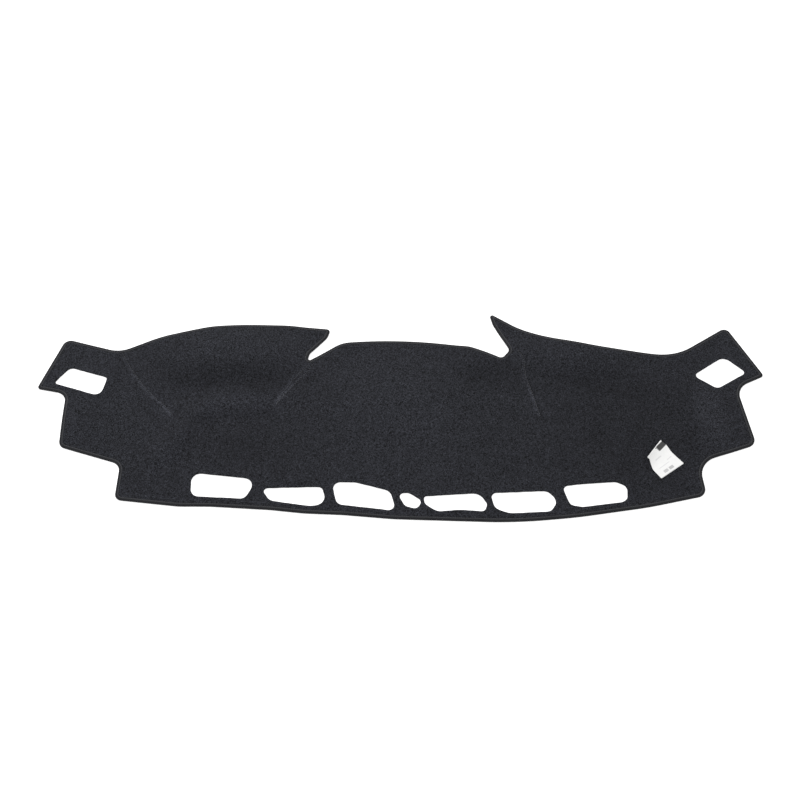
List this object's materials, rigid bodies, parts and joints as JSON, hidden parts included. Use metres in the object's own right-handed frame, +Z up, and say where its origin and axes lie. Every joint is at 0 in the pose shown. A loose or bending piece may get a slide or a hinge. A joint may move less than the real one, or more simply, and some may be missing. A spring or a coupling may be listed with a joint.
{
  "type": "dashboard cover mat",
  "caption": "Dark carpet-felt cover for the top of a car dashboard, with a bound rim, windscreen vent openings, end outlets, rim notches and sewn darts, lying flat, with a paper ticket on it.",
  "frame": {"origin": "middle of the mat's bounding box in plan, on the table that it lies on", "axes": "+X along the mat to the right with the windscreen edge nearest, +Y away from the windscreen edge, +Z up"},
  "size_m": [1.4598, 0.4908, 0.0235],
  "materials": {
    "felt": "matt charcoal carpet felt with a short pile",
    "tape": "matt woven binding tape, a little lighter than the felt",
    "paper": "smooth white paper"
  },
  "bodies": {
    "root": {"mat_panel": "felt", "edge_binding": "tape", "label": "paper"}
  },
  "joints": []
}
